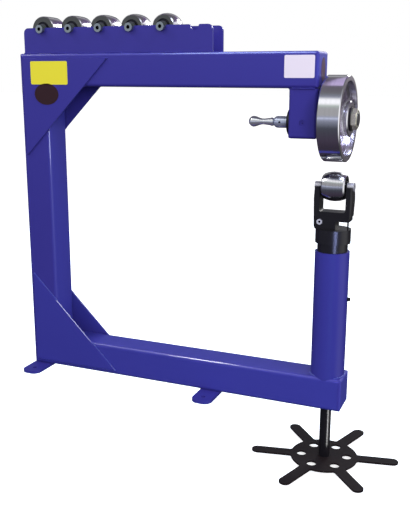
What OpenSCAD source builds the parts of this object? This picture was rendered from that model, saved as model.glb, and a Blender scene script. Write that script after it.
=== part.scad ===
// English wheel: a C-shaped welded frame that carries a large upper wheel on a quick-release
// eccentric axle over a small crowned anvil. The anvil's yoke stands on a ram that a foot-turned
// screw raises and lowers. Spare anvils lie in a notched rack on top of the frame.
// The origin is the centre of the four bench bolts on the bench's surface.
// +X runs from the column towards the wheels, -Y is the front and +Z is up.

/* [Frame] */
// Outside width of the square frame tube
tube_w = 101.6; // [90:0.1:115]
// Wall of the square frame tube
tube_wall = 6.35; // [4:0.05:9]
// Outside corner radius of the square frame tube
tube_r = 10; // [6:0.5:14]
// Height from the underside of the lower arm to the top of the upper arm
frame_h = 1048; // [950:1:1150]
// Clear depth from the column's front face to the middle of the wheels
throat = 930.4; // [800:0.1:1000]
// Length of the lower arm past the middle of the wheels
arm_over = 54; // [53:1:70]
// Thickness of the caps that close the tube ends
cap_t = 9.5; // [6:0.1:14]
// Leg of the triangular gusset plates
gusset_leg = 305; // [230:1:340]
// Thickness of the gusset plates
gusset_t = 5; // [3:0.1:8]
// Distance of the gusset plates from the tube's outer edges
gusset_inset = 16.5; // [11:0.5:25]

/* [Feet] */
// Thickness of the feet
foot_t = 9.5; // [6:0.5:14]
// Length of the feet across the arm
foot_len = 270; // [250:1:300]
// Corner radius of the feet
foot_r = 25; // [8:0.5:30]
// Width of the feet
foot_w = 66; // [50:1:80]
// Distance between the two feet's bolt rows
bolt_span_x = 632; // [540:1:680]
// Distance between a foot's two bolts
bolt_span_y = 200; // [180:1:220]
// Diameter of the bench bolt holes
bolt_hole_d = 14; // [10:0.5:18]
// Distance from the column's rear face to the rear bolt row
rear_bolt_inset = 33; // [33:1:50]

/* [Head] */
// Width of the head block along the arm
head_w = 84; // [78:1:92]
// Drop of the head block below the upper arm
head_drop = 139; // [120:1:170]
// Height of the eccentric axle's axis above the head block's underside
cam_rise = 43.3; // [43:0.1:60]
// Gap between the head block and the upper wheel's rim
head_gap = 15.5; // [12:0.5:20]
// Outside diameter of the axle sleeve in the head block
sleeve_d = 64; // [62:0.5:70]
// Outside diameter of the bushes in the axle sleeve
sleeve_bush_d = 56; // [54.5:0.5:58]
// Length of each bush in the axle sleeve
sleeve_bush_len = 26; // [15:1:35]
// Diameter of the lock screw in the head block's front face
lock_screw_d = 18; // [8:0.5:20]

/* [Quick release] */
// Diameter of the eccentric axle's main journal
cam_d = 50; // [46:0.5:52]
// Offset of the wheel's journal from the main journal
cam_throw = 12.7; // [8:0.1:14]
// Diameter of the axle's thrust shoulder
shoulder_d = 70; // [64:1:76]
// Thickness of the axle's thrust shoulder
shoulder_t = 7; // [4:0.5:9]
// Diameter of the black flange against the head block
flange_d = 76; // [70:1:84]
// Thickness of the black flange
flange_t = 8.5; // [6:0.5:18]
// Diameter of the axle's stub that carries the flange and the handle's hub
stub_d = 20; // [16:0.5:22]
// Diameter of the handle's hub
hub_d = 34.5; // [30:0.5:38]
// Length of the handle's hub
hub_len = 48; // [30:0.5:55]
// Length of the handle past its hub
handle_len = 75.5; // [70:0.5:95]
// Greatest diameter of the handle
handle_d = 32; // [25:0.5:34]
// Diameter of the handle's neck
handle_neck_d = 17.5; // [10:0.5:20]
// Diameter of the collar at the handle's root
handle_collar_d = 24.5; // [19:0.5:28]

/* [Upper wheel] */
// Diameter of the upper wheel
wheel_d = 241.3; // [220:0.1:260]
// Width of the upper wheel's rim
wheel_w = 63; // [58:1:68]
// Thickness of the rim
rim_t = 14; // [9:0.5:18]
// Thickness of the web between rim and hub
web_t = 18; // [14:0.5:22]
// Diameter of the wheel's hub
wheel_hub_d = 100; // [90:1:106]
// Stand of the wheel's hub past the rim's outer face
hub_proud = 6.5; // [4:0.5:16]
// Bore of the wheel's bearings, which is the diameter of their journal
wheel_bearing_bore = 35; // [32:0.5:36]
// Outside diameter of the wheel's bearings
wheel_bearing_od = 72; // [68:0.5:76]
// Width of each of the wheel's bearings
wheel_bearing_w = 17; // [14:0.5:19]
// Number of balls in each of the wheel's bearings
wheel_ball_count = 12; // [8:1:13]
// Thickness of the axle's washer
washer_t = 3; // [2:0.5:10]
// Diameter of the axle's washer
washer_d = 66; // [62:1:76]
// Width of the axle's nut across its flats
nut_af = 51.6; // [46:0.1:58]
// Thickness of the axle's nut
nut_t = 15.5; // [12:0.5:26]

/* [Anvils] */
// Gap between the upper wheel and the anvil once the quick release has lowered the wheel
nip_rest = 3; // [2.8:0.1:8]
// Greatest diameter of the anvil in the yoke
anvil_d = 85; // [74:0.1:88]
// Greatest diameter of the spare anvils
spare_d = 81; // [74:0.1:84]
// Width of the anvils
anvil_w = 68; // [58:0.5:70]
// Crown of the anvil in the yoke, from its middle to its ends
anvil_crown = 8; // [0.5:0.1:9]
// Crowns of the spare anvils in the rack, from the column outwards
spare_crowns = [0.8, 1.6, 2.6, 3.8, 5.2]; // [0.5:0.1:9]
// Bevel at the anvils' edges
anvil_bevel = 2; // [1:0.25:3]
// Diameter of the anvils' axles
axle_d = 25.4; // [22:0.1:28]
// Length of the anvils' axles past each side of the yoke
axle_proud = 1; // [0.5:0.5:4]
// Outside diameter of the anvils' bearings
anvil_bearing_od = 47; // [42:0.5:52]
// Width of each of the anvils' bearings
anvil_bearing_w = 12; // [9:0.5:16]
// Depth of the bearing's face below the anvil's face
bearing_recess = 3; // [1:0.5:5]

/* [Yoke and ram] */
// Thickness of each of the yoke's arms
yoke_arm_t = 18; // [14:0.5:22]
// Gap between the yoke's arms
yoke_gap = 76; // [71:0.5:80]
// Depth of the yoke from front to back
yoke_depth = 50.8; // [44:0.2:60]
// Width of the yoke's base
yoke_base_w = 106; // [98:1:109]
// Height of the yoke's base
yoke_base_h = 51; // [42:1:70]
// Height of the anvil's axle above the yoke's underside
yoke_axle_h = 122.5; // [116:0.5:145]
// Length of the yoke's spigot in the ram
spigot_len = 34; // [20:1:50]
// Height of the notch under the yoke's base
notch_h = 24; // [12:1:30]
// Distance of the notch from the yoke's middle
notch_x = 11; // [8:0.5:38]
// Diameter of the index pin in the yoke's notch
index_pin_d = 5; // [4:0.25:6]
// Diameter of the ram
ram_d = 88.9; // [84:0.1:90]
// Wall of the ram
ram_wall = 13; // [11:0.5:16]
// Length of ram that shows between the post and the collar
ram_show = 26; // [25:0.5:60]
// Diameter of the collar on the ram
collar_d = 103; // [100:1:116]
// Height of the collar on the ram
collar_h = 41; // [25:1:50]
// Outside diameter of the post
post_d = 101.6; // [98:0.1:105]
// Running clearance of the ram in the post, on the radius
ram_fit = 0.08; // [0.04:0.01:0.1]
// Length of the ram below the collar's underside
ram_len = 276; // [240:1:300]
// Height of the guide screw above the lower arm's underside
guide_screw_h = 340; // [310:1:360]
// Diameter of the guide screw
guide_screw_d = 9; // [6:0.5:12]

/* [Kick wheel] */
// Diameter of the adjuster screw
screw_d = 34; // [30:0.25:36]
// Distance from the lower arm's underside to the kick wheel's plate
kick_drop = 172; // [150:1:200]
// Thickness of the kick wheel's plate
kick_t = 6; // [4:0.5:10]
// Diameter of the kick wheel's disc
kick_disc_d = 206; // [190:1:220]
// Diameter over the tips of the kick wheel's spokes
kick_tip_d = 453; // [400:1:480]
// Width of the spokes
spoke_w = 36; // [28:0.5:44]
// Number of spokes
spoke_count = 6; // [4:1:7]
// Turn of the first spoke from the +X axis
spoke_turn = 11.3; // [0:0.1:45]
// Diameter of the kick wheel's holes
kick_hole_d = 30; // [20:0.5:34]
// Radius of the circle of holes
kick_hole_r = 70; // [60:0.5:80]
// Diameter of the bolt under the kick wheel
kick_bolt_d = 16; // [10:0.5:18]

/* [Anvil rack] */
// Height of the rack's plates
rack_h = 78; // [70:0.5:95]
// Thickness of the rack's plates
rack_t = 6.35; // [4:0.05:8]
// Width over the rack's two plates
rack_w = 88; // [84:0.5:96]
// Length of the rack's plates
rack_len = 650; // [642:1:680]
// Distance from the column's rear face to the rack
rack_inset = 18; // [12:1:30]
// Number of notches in the rack
notch_count = 6; // [6:1:6]
// Distance between notches
notch_pitch = 105.4; // [100:0.1:108]
// Distance from the rack's rear end to its first notch
notch_start = 66; // [50:0.5:75]
// Depth of the axle's middle below the rack's top edge
notch_sink = 4.3; // [3:0.1:9]
// Corner radius at the rack's ends
rack_corner_r = 16; // [10:0.5:26]

/* [Fits] */
// Running clearance on the radius of journals and bores
run_fit = 0.05; // [0.02:0.01:0.09]
// Clearance on the radius of pressed and screwed pieces
seat_fit = 0.05; // [0.02:0.01:0.1]
// Clearance on the radius between the screw and the nut in the ram
thread_gap = 0.3; // [0.3:0.05:0.6]
// Gap between faces that turn or slide past each other
face_gap = 0.5; // [0.3:0.1:0.8]

/* [Hidden] */
$fn = 96;

// Heights
arm_z0 = foot_t;
arm_top = arm_z0 + tube_w;
frame_top = arm_z0 + frame_h;
upper_arm_z0 = frame_top - tube_w;
head_z0 = upper_arm_z0 - head_drop;
cam_z = head_z0 + cam_rise;
wheel_z = cam_z + cam_throw;
nip_gap = nip_rest + 2 * cam_throw;
anvil_z = wheel_z - wheel_d / 2 - nip_gap - anvil_d / 2;
yoke_z0 = anvil_z - yoke_axle_h;
collar_z0 = yoke_z0 - collar_h;
post_top = collar_z0 - ram_show;
kick_top = arm_z0 - kick_drop;

// Places along the frame
column_x0 = -bolt_span_x / 2 - rear_bolt_inset;
column_x1 = column_x0 + tube_w;
wheel_x = column_x1 + throat;
head_x1 = wheel_x - wheel_w / 2 - head_gap;
head_x0 = head_x1 - head_w;
lower_arm_x1 = wheel_x + arm_over;
rack_x0 = column_x0 + rack_inset;
rack_axle_z = frame_top + rack_h - notch_sink;
cap_edge_r = cap_t - 1;
corner_r = 10;
axle_len = yoke_gap + 2 * yoke_arm_t + 2 * axle_proud;

// Quick release
cam_groove_w = 9;
lock_screw_sink = 3;
cam_groove_d = cam_d - 8;
set_screw_d = 6;
hub_end_t = 8;
hub_dome = hub_len * 0.28;
set_screw_x = (hub_len - hub_dome) * 0.75;

// Ram, screw and nut
post_id = ram_d + 2 * ram_fit;
ram_id = ram_d - 2 * ram_wall;
ram_z0 = collar_z0 - ram_len;
ram_nut_len = 50;
keyway_w = guide_screw_d + 1;
keyway_depth = 5;
keyway_end = 40;
screw_past_nut = 60;
thrust_t = 6;
screw_collar_t = 12;
screw_collar_d = 60;
screw_bush_d = screw_d + 10;
index_pin_r = (ram_d + collar_d) / 4;
index_pin_turn = -18;
index_pin_sink = 9;
clamp_screw_d = 9;
clamp_screw_x = 35;
clamp_screw_h = 21.5;
clamp_head_d = 16;
clamp_head_t = 5;
kick_washer_t = 3;

// Rounds between the kick wheel's spokes and its disc, cut a little past the tangent
spoke_root_r = 6;
root_bite = 0.05;

// Wheel hub, along the wheel's axis from its middle
hub_out = wheel_w / 2 + hub_proud;
hub_in = -wheel_w / 2 + 5;
race_proud = 1;
race_t = (wheel_bearing_od - wheel_bearing_bore) / 2;
ring_t = race_t * 0.32;
ball_d = race_t - 2 * ring_t - 0.2;
journal_end = hub_out + race_proud + washer_t + nut_t + 2;

// Shared shapes

// Rounded rectangle about the origin, with true arcs at its corners
module rounded_rect(w, h, r) {
    square([w - 2 * r, h], center = true);
    square([w, h - 2 * r], center = true);
    for (sx = [-1, 1], sy = [-1, 1])
        translate([sx * (w / 2 - r), sy * (h / 2 - r)]) circle(r);
}

// Square tube along +Z
module tube(w, h, len) {
    linear_extrude(len) difference() {
        rounded_rect(w, h, tube_r);
        rounded_rect(w - 2 * tube_wall, h - 2 * tube_wall, max(tube_r - tube_wall, 1));
    }
}

// Weld-dressed end cap on z = 0, with its outer edges rounded over
module end_cap(w, h) {
    intersection() {
        linear_extrude(cap_t) rounded_rect(w, h, tube_r);
        rotate([90, 0, 0]) translate([0, 0, -h]) linear_extrude(2 * h)
            translate([0, cap_t / 2 - h / 2]) rounded_rect(w, h + cap_t, cap_edge_r);
        rotate([90, 0, 90]) translate([0, 0, -w]) linear_extrude(2 * w)
            translate([0, cap_t / 2 - w / 2]) rounded_rect(h, w + cap_t, cap_edge_r);
    }
}

// Children's +Z axis laid along +X from a point
module along_x(at) {
    translate(at) rotate([0, 90, 0]) children();
}

// Children's +Z axis laid along -Y from a point
module along_front(at) {
    translate(at) rotate([90, 0, 0]) children();
}

// Round bar or ring along +Z
module ring(d_out, d_in, len) {
    difference() {
        cylinder(d = d_out, h = len);
        translate([0, 0, -1]) cylinder(d = d_in, h = len + 2);
    }
}

// Frame

// Part of the frame's front view, extruded across it: points are [x, z]
module front_slab(points) {
    along_front([0, tube_w, 0]) linear_extrude(2 * tube_w) polygon(points);
}

// Front view of the whole frame with its two dressed corners at the column
module frame_outline() {
    reach = lower_arm_x1 - column_x0 + 2 * corner_r;
    along_front([column_x0 + reach / 2, tube_w, arm_z0 + frame_h / 2]) linear_extrude(2 * tube_w)
        rounded_rect(reach, frame_h, corner_r);
}

module column_tube() {
    color("mediumblue") intersection() {
        translate([column_x0 + tube_w / 2, 0, arm_z0]) tube(tube_w, tube_w, frame_h);
        front_slab([[column_x0, arm_z0], [column_x1, arm_top], [column_x1, upper_arm_z0],
            [column_x0, frame_top]]);
        frame_outline();
    }
}

module upper_arm_tube() {
    end = head_x1 - cap_t;
    color("mediumblue") intersection() {
        along_x([column_x0, 0, frame_top - tube_w / 2]) tube(tube_w, tube_w, end - column_x0);
        front_slab([[column_x0, frame_top], [column_x1, upper_arm_z0], [end, upper_arm_z0],
            [end, frame_top]]);
        frame_outline();
    }
}

module lower_arm_tube() {
    end = lower_arm_x1 - cap_t;
    color("mediumblue") difference() {
        intersection() {
            along_x([column_x0, 0, arm_z0 + tube_w / 2]) tube(tube_w, tube_w, end - column_x0);
            front_slab([[column_x0, arm_z0], [end, arm_z0], [end, arm_top], [column_x1, arm_top]]);
            frame_outline();
        }
        translate([wheel_x, 0, arm_top - 2 * tube_wall])
            cylinder(d = screw_d + 10, h = 3 * tube_wall);
        translate([wheel_x, 0, arm_z0 - tube_wall])
            cylinder(d = screw_bush_d, h = 3 * tube_wall);
    }
}

module tube_caps() {
    color("mediumblue") {
        along_x([head_x1 - cap_t, 0, frame_top - tube_w / 2]) end_cap(tube_w, tube_w);
        along_x([lower_arm_x1 - cap_t, 0, arm_z0 + tube_w / 2]) end_cap(tube_w, tube_w);
        translate([head_x0 + head_w / 2, 0, head_z0 + cap_t]) rotate([180, 0, 0])
            end_cap(head_w, tube_w);
    }
}

// Triangular plates on the front and back of a corner, with their square corner at z
// and their upright leg going up or down
module gusset_pair(z, up) {
    corner_x = column_x0 + gusset_inset;
    for (y = [-tube_w / 2, tube_w / 2 + gusset_t])
        along_front([corner_x, y, z]) linear_extrude(gusset_t)
            polygon([[0, 0], [gusset_leg, 0], [0, up * gusset_leg]]);
}

module lower_gussets() {
    color("mediumblue") gusset_pair(arm_z0 + gusset_inset, 1);
}

module upper_gussets() {
    color("mediumblue") gusset_pair(frame_top - gusset_inset, -1);
}

// Cross plate with rounded corners and a bolt hole near each end
module foot(x) {
    translate([x, 0, 0]) difference() {
        linear_extrude(foot_t) rounded_rect(foot_w, foot_len, foot_r);
        for (s = [-1, 1]) translate([0, s * bolt_span_y / 2, -1])
            cylinder(d = bolt_hole_d, h = foot_t + 2);
    }
}

module rear_foot() {
    color("mediumblue") foot(-bolt_span_x / 2);
}

module front_foot() {
    color("mediumblue") foot(bolt_span_x / 2);
}

// Head

module head_block() {
    color("mediumblue") difference() {
        translate([head_x0 + head_w / 2, 0, head_z0 + cap_t])
            tube(head_w, tube_w, head_drop - cap_t);
        along_x([head_x0 - 1, 0, cam_z]) cylinder(d = sleeve_d, h = head_w + 2);
        along_front([head_x0 + head_w / 2, -tube_w / 2 + 2 * tube_wall, cam_z])
            cylinder(d = lock_screw_d + 2 * seat_fit, h = 3 * tube_wall);
    }
}

module axle_sleeve() {
    color("gray") difference() {
        along_x([head_x0, 0, cam_z])
            ring(sleeve_d - 2 * seat_fit, sleeve_bush_d, head_w);
        along_front([head_x0 + head_w / 2, 0, cam_z])
            cylinder(d = lock_screw_d + 2 * seat_fit, h = sleeve_d);
    }
}

module sleeve_bushes() {
    color("darkgoldenrod")
        for (x = [head_x0, head_x1 - sleeve_bush_len]) along_x([x, 0, cam_z])
            ring(sleeve_bush_d - 2 * seat_fit, cam_d + 2 * run_fit, sleeve_bush_len);
}

// Dog-point screw whose tip runs in the axle's groove
module head_lock_screw() {
    socket_d = lock_screw_d * 0.3;
    socket_len = 3;
    tip_r = cam_groove_d / 2 + face_gap;
    end_r = tube_w / 2 - lock_screw_sink;
    color("mediumblue") along_front([head_x0 + head_w / 2, 0, cam_z]) difference() {
        union() {
            translate([0, 0, tip_r]) cylinder(d = cam_groove_w - 2 * face_gap, h = end_r - tip_r);
            translate([0, 0, cam_d / 2 + face_gap])
                cylinder(d = lock_screw_d, h = end_r - cam_d / 2 - face_gap);
        }
        translate([0, 0, end_r - socket_len]) cylinder(d = socket_d, h = lock_screw_d, $fn = 6);
    }
}

// Quick release

module eccentric_axle() {
    shoulder_x = head_x1 + face_gap;
    stub_x = head_x0 - face_gap - flange_t - hub_len + hub_end_t;
    color("dimgray") {
        difference() {
            along_x([head_x0 - face_gap, 0, cam_z]) cylinder(d = cam_d, h = head_w + 2 * face_gap);
            along_x([head_x0 + head_w / 2 - cam_groove_w / 2, 0, cam_z])
                ring(cam_d + 2, cam_groove_d, cam_groove_w);
        }
        along_x([stub_x, 0, cam_z]) cylinder(d = stub_d, h = head_x0 - stub_x);
        along_x([shoulder_x, 0, cam_z]) cylinder(d = shoulder_d, h = shoulder_t);
        along_x([shoulder_x, 0, wheel_z])
            cylinder(d = wheel_bearing_bore, h = wheel_x + journal_end - shoulder_x);
    }
}

module axle_flange() {
    color("black") along_x([head_x0 - face_gap - flange_t, 0, cam_z])
        ring(flange_d, stub_d + 2 * seat_fit, flange_t);
}

// Hub with a domed outer end, bored for the axle's stub and drilled for the handle
module handle_hub() {
    x0 = head_x0 - face_gap - flange_t;
    color("silver") along_x([x0, 0, cam_z]) mirror([0, 0, 1]) difference() {
        union() {
            cylinder(d = hub_d, h = hub_len - hub_dome);
            translate([0, 0, hub_len - hub_dome]) rotate_extrude()
                polygon(concat([[0, 0]], [for (a = [0:15:75])
                    [hub_d / 2 * cos(a) ^ 0.7, hub_dome * sin(a)]],
                    [[hub_d * 0.3, hub_dome], [0, hub_dome]]));
        }
        translate([0, 0, -1]) cylinder(d = stub_d + 2 * seat_fit, h = hub_len - hub_end_t + 1 + face_gap);
        translate([0, 0, hub_len - hub_end_t]) cylinder(d = handle_neck_d / 2, h = hub_end_t + 1);
        translate([0, 0, set_screw_x]) rotate([90, 0, 0])
            cylinder(d = set_screw_d + 2 * seat_fit, h = hub_d);
    }
}

module hub_set_screw() {
    x = head_x0 - face_gap - flange_t - set_screw_x;
    color("black") along_front([x, 0, cam_z]) translate([0, 0, stub_d / 2 + 0.1]) difference() {
        cylinder(d = set_screw_d, h = hub_d / 2 - stub_d / 2 - 1);
        translate([0, 0, 2]) cylinder(d = set_screw_d * 0.55, h = hub_d, $fn = 6);
    }
}

// Half-profile of the handle from its root at 0 to its tip: a neck that swells to a bulb
handle_neck_at = 0.36;
handle_bulb_at = 0.8;
handle_collar_t = 8;
function ease(t) = (1 - cos(180 * t)) / 2;
function handle_r(t) =
    t < handle_neck_at ?
        handle_neck_d / 2 + (handle_collar_d - handle_neck_d) * 0.3 * (1 - ease(t / handle_neck_at)) :
    t < handle_bulb_at ?
        handle_neck_d / 2 + (handle_d - handle_neck_d) / 2
            * ease((t - handle_neck_at) / (handle_bulb_at - handle_neck_at)) :
        handle_d / 2 * sqrt(max(0, 1 - ((t - handle_bulb_at) / (1 - handle_bulb_at)) ^ 2));

module release_handle() {
    steps = 28;
    grip = handle_len - handle_collar_t;
    x0 = head_x0 - face_gap - flange_t - hub_len;
    color("silver") along_x([x0, 0, cam_z]) mirror([0, 0, 1]) {
        cylinder(d1 = handle_collar_d - 3, d2 = handle_collar_d, h = handle_collar_t / 3);
        translate([0, 0, handle_collar_t / 3])
            cylinder(d = handle_collar_d, h = handle_collar_t * 2 / 3);
        translate([0, 0, handle_collar_t]) rotate_extrude() polygon(concat([[0, 0]],
            [for (i = [0:steps - 1]) [handle_r(i / steps), grip * i / steps]],
            [for (a = [80:-20:20]) [handle_d / 2 * sin(a) * 0.52, grip * (1 - 0.009 * (1 - cos(a)) * 2)]],
            [[0, grip]]));
        translate([0, 0, -7]) cylinder(d = handle_neck_d / 2 - 2 * seat_fit, h = 8);
    }
}

// Rings that hold the wheel's inner races apart and off the shoulder
module axle_spacers() {
    fit_d = wheel_bearing_bore + 2 * seat_fit;
    spacer_d = wheel_bearing_bore + 2 * ring_t;
    near = head_x1 + face_gap + shoulder_t;
    inner_race = wheel_x + hub_in - race_proud;
    color("gray") {
        along_x([near, 0, wheel_z]) ring(spacer_d, fit_d, inner_race - near);
        along_x([inner_race + wheel_bearing_w, 0, wheel_z])
            ring(spacer_d - 4, fit_d, hub_out - hub_in + 2 * race_proud - 2 * wheel_bearing_w);
    }
}

module axle_washer() {
    color("silver") along_x([wheel_x + hub_out + race_proud, 0, wheel_z])
        ring(washer_d, wheel_bearing_bore + 2 * seat_fit, washer_t);
}

// Hexagon nut with its outer corners turned off
module axle_nut() {
    corner_d = nut_af / cos(30);
    color("palegoldenrod") along_x([wheel_x + hub_out + race_proud + washer_t, 0, wheel_z])
        intersection() {
            difference() {
                cylinder(d = corner_d, h = nut_t, $fn = 6);
                translate([0, 0, -1]) cylinder(d = wheel_bearing_bore + 2 * seat_fit, h = nut_t + 2);
            }
            union() {
                cylinder(d = corner_d + 2, h = nut_t - 4);
                translate([0, 0, nut_t - 4]) cylinder(d1 = corner_d + 2, d2 = nut_af - 2, h = 4);
            }
        }
}

module wheel_bearing_inners() {
    fit_d = wheel_bearing_bore + 2 * seat_fit;
    color("lightgray")
        for (u = [hub_in - race_proud, hub_out + race_proud - wheel_bearing_w])
            along_x([wheel_x + u, 0, wheel_z])
                ring(wheel_bearing_bore + 2 * ring_t, fit_d, wheel_bearing_w);
}

// Upper wheel

// Half-section of the wheel about its axis: hub, web with coved corners, and chamfered rim
module wheel_section() {
    rim_in = wheel_d / 2 - rim_t;
    cove = 6;
    chamfer = 2.5;
    hub_r = wheel_hub_d / 2;
    difference() {
        union() {
            translate([rim_in - 1, -wheel_w / 2]) square([rim_t + 1, wheel_w]);
            translate([wheel_bearing_od / 2 - 1, -web_t / 2 - cove])
                square([rim_in - wheel_bearing_od / 2 + 1, web_t + 2 * cove]);
            translate([wheel_bearing_od / 2 - 10, hub_in])
                square([hub_r - wheel_bearing_od / 2 + 10, hub_out - hub_in]);
        }
        for (s = [-1, 1]) translate([0, s * (web_t / 2 + cove)]) {
            translate([hub_r + cove, 0]) circle(cove);
            translate([rim_in - cove, 0]) circle(cove);
            translate([hub_r + cove, -cove]) square([rim_in - hub_r - 2 * cove, 2 * cove]);
            translate([wheel_d / 2, s * (wheel_w / 2 - web_t / 2 - cove)]) rotate(45)
                square(chamfer * sqrt(2), center = true);
        }
        translate([hub_r, hub_out]) rotate(45) square(chamfer * sqrt(2), center = true);
        translate([0, hub_out - wheel_bearing_w]) square([wheel_bearing_od / 2, wheel_w]);
        translate([0, hub_in + wheel_bearing_w - wheel_w]) square([wheel_bearing_od / 2, wheel_w]);
    }
}

module upper_wheel() {
    color("lightgray") along_x([wheel_x, 0, wheel_z]) rotate_extrude() wheel_section();
}

module wheel_bearing_outers() {
    od = wheel_bearing_od - 2 * seat_fit;
    color("silver")
        for (u = [hub_in, hub_out - wheel_bearing_w]) along_x([wheel_x + u, 0, wheel_z])
            ring(od, wheel_bearing_od - 2 * ring_t, wheel_bearing_w);
}

module wheel_bearing_balls() {
    pitch_r = (wheel_bearing_bore + wheel_bearing_od) / 4;
    color("white")
        for (u = [hub_in, hub_out - wheel_bearing_w], i = [0:wheel_ball_count - 1])
            along_x([wheel_x + u + wheel_bearing_w / 2, 0, wheel_z])
                rotate(i * 360 / wheel_ball_count) translate([pitch_r, 0, 0]) sphere(d = ball_d);
}

// Anvils

// Crowned roller about the X axis, bevelled at its edges and bored for its two bearings
module anvil(at, d, crown) {
    half = anvil_w / 2;
    crown_r = (half ^ 2 + crown ^ 2) / (2 * crown);
    bevel_r = d / 2 - crown - anvil_bevel;
    out_r = d / 2 + 1;
    bevel_z = half - (out_r - bevel_r);
    seat = half - bearing_recess - anvil_bearing_w;
    along_x(at) rotate_extrude() difference() {
        intersection() {
            polygon([[0, -half], [bevel_r, -half], [out_r, -bevel_z], [out_r, bevel_z],
                [bevel_r, half], [0, half]]);
            translate([d / 2 - crown_r, 0]) circle(crown_r, $fn = 360);
        }
        translate([-1, -half - 1]) square([axle_d / 2 + 3, anvil_w + 2]);
        for (s = [0, 1]) mirror([0, s])
            translate([-1, seat]) square([anvil_bearing_od / 2 + 1, half]);
    }
}

// Sealed bearings of an anvil, running on its axle
module anvil_bearing_pair(at) {
    half = anvil_w / 2;
    od = anvil_bearing_od - 2 * seat_fit;
    for (u = [-half + bearing_recess, half - bearing_recess - anvil_bearing_w])
        along_x(at + [u, 0, 0]) ring(od, axle_d + 2 * run_fit, anvil_bearing_w);
}

// Axle with a centre hole in each end
module roller_axle(at) {
    hole_d = 11;
    hole_len = 9;
    along_x(at - [axle_len / 2, 0, 0]) difference() {
        cylinder(d = axle_d, h = axle_len);
        translate([0, 0, -1]) cylinder(d = hole_d, h = hole_len + 1);
        translate([0, 0, axle_len - hole_len]) cylinder(d = hole_d, h = hole_len + 1);
    }
}

// Rings that keep an anvil off the arms or plates beside it
module spacer_pair(at, gap) {
    len = (gap - anvil_w) / 2 + bearing_recess - 2 * face_gap;
    from = anvil_w / 2 - bearing_recess + face_gap;
    for (s = [0, 1]) translate(at) mirror([s, 0, 0]) along_x([from, 0, 0])
        ring(axle_d + 8, axle_d + 2 * seat_fit, len);
}

// Children turned from the X axis to the rack's Y axis at a notch
module in_rack(i) {
    translate([rack_x0 + notch_start + i * notch_pitch, 0, rack_axle_z]) rotate(90) children();
}

module spare_anvil(i) {
    color("dimgray") in_rack(i) anvil([0, 0, 0], spare_d, spare_crowns[i]);
}

module spare_bearings(i) {
    color("darkslategray") in_rack(i) anvil_bearing_pair([0, 0, 0]);
}

module rack_axles() {
    color("silver") for (i = [0:len(spare_crowns) - 1]) in_rack(i) roller_axle([0, 0, 0]);
}

module rack_spacers() {
    color("gray") for (i = [0:len(spare_crowns) - 1]) in_rack(i)
        spacer_pair([0, 0, 0], rack_w - 2 * rack_t);
}

// Notch for an axle, open at the rack's top edge and eased where it meets it
module notch_shape() {
    r = axle_d / 2 + seat_fit * 4;
    ease_r = 5;
    circle(r);
    translate([-r, 0]) square([2 * r, notch_sink + 1]);
    difference() {
        translate([-r - ease_r, notch_sink - ease_r]) square([2 * (r + ease_r), ease_r + 1]);
        for (s = [-1, 1]) translate([s * (r + ease_r), notch_sink - ease_r]) circle(ease_r);
    }
}

module rack_plate(y) {
    color("mediumblue") along_front([rack_x0, y, frame_top]) linear_extrude(rack_t) difference() {
        union() {
            translate([0, 0]) square([rack_len, rack_h - rack_corner_r]);
            translate([rack_corner_r, 0]) square([rack_len - 2 * rack_corner_r, rack_h]);
            for (x = [rack_corner_r, rack_len - rack_corner_r])
                translate([x, rack_h - rack_corner_r]) circle(rack_corner_r);
        }
        for (i = [0:notch_count - 1])
            translate([notch_start + i * notch_pitch, rack_h - notch_sink]) notch_shape();
    }
}

module rack_front_plate() {
    rack_plate(-rack_w / 2 + rack_t);
}

module rack_rear_plate() {
    rack_plate(rack_w / 2);
}

// Post, ram and yoke

// Post whose foot is scribed down over the lower arm's rounded edges
module post_tube() {
    scribe = tube_r * 0.8;
    color("mediumblue") difference() {
        translate([wheel_x, 0, arm_top - scribe]) ring(post_d, post_id, post_top - arm_top + scribe);
        along_x([wheel_x - post_d, 0, arm_z0 + tube_w / 2])
            linear_extrude(2 * post_d) rounded_rect(tube_w, tube_w, tube_r);
        along_x([wheel_x, 0, arm_z0 + guide_screw_h]) cylinder(d = guide_screw_d + 2 * seat_fit, h = post_d);
    }
}

// Screw through the post whose tip runs in the ram's keyway
module guide_screw() {
    tip_r = ram_d / 2 - keyway_depth + face_gap;
    color("black") along_x([wheel_x + tip_r, 0, arm_z0 + guide_screw_h]) {
        cylinder(d = guide_screw_d, h = post_d / 2 - tip_r);
        translate([0, 0, post_d / 2 - tip_r]) cylinder(d = guide_screw_d + 3, h = 8);
    }
}

// Flanged bearing of the adjuster screw in the lower arm's underside
module screw_bush() {
    flange = 4;
    color("darkgoldenrod") translate([wheel_x, 0, arm_z0 - flange]) difference() {
        union() {
            cylinder(d = screw_bush_d + 16, h = flange);
            cylinder(d = screw_bush_d - 2 * seat_fit, h = flange + tube_wall + 6);
        }
        translate([0, 0, -1]) cylinder(d = screw_d + 2 * run_fit, h = flange + tube_wall + 8);
    }
}

module thrust_washer() {
    color("darkgoldenrod") translate([wheel_x, 0, arm_top])
        ring(post_id - 2, screw_d + 2, thrust_t);
}

module ram() {
    len = yoke_z0 - ram_z0;
    color("black") translate([wheel_x, 0, ram_z0]) difference() {
        ring(ram_d, ram_id, len);
        translate([ram_d / 2 - keyway_depth, -keyway_w / 2, -1])
            cube([keyway_depth + 1, keyway_w, len - collar_h - ram_show - keyway_end]);
    }
}

// Children at the index pin, sunk below the yoke's underside
module at_index_pin(sink) {
    translate([wheel_x, 0, yoke_z0 - sink]) rotate(index_pin_turn) translate([index_pin_r, 0]) children();
}

module ram_collar() {
    color("black") difference() {
        translate([wheel_x, 0, collar_z0]) ring(collar_d, ram_d + 2 * seat_fit, collar_h);
        at_index_pin(index_pin_sink + 1) cylinder(d = index_pin_d + 2 * seat_fit, h = index_pin_sink + 2);
    }
}

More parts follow.
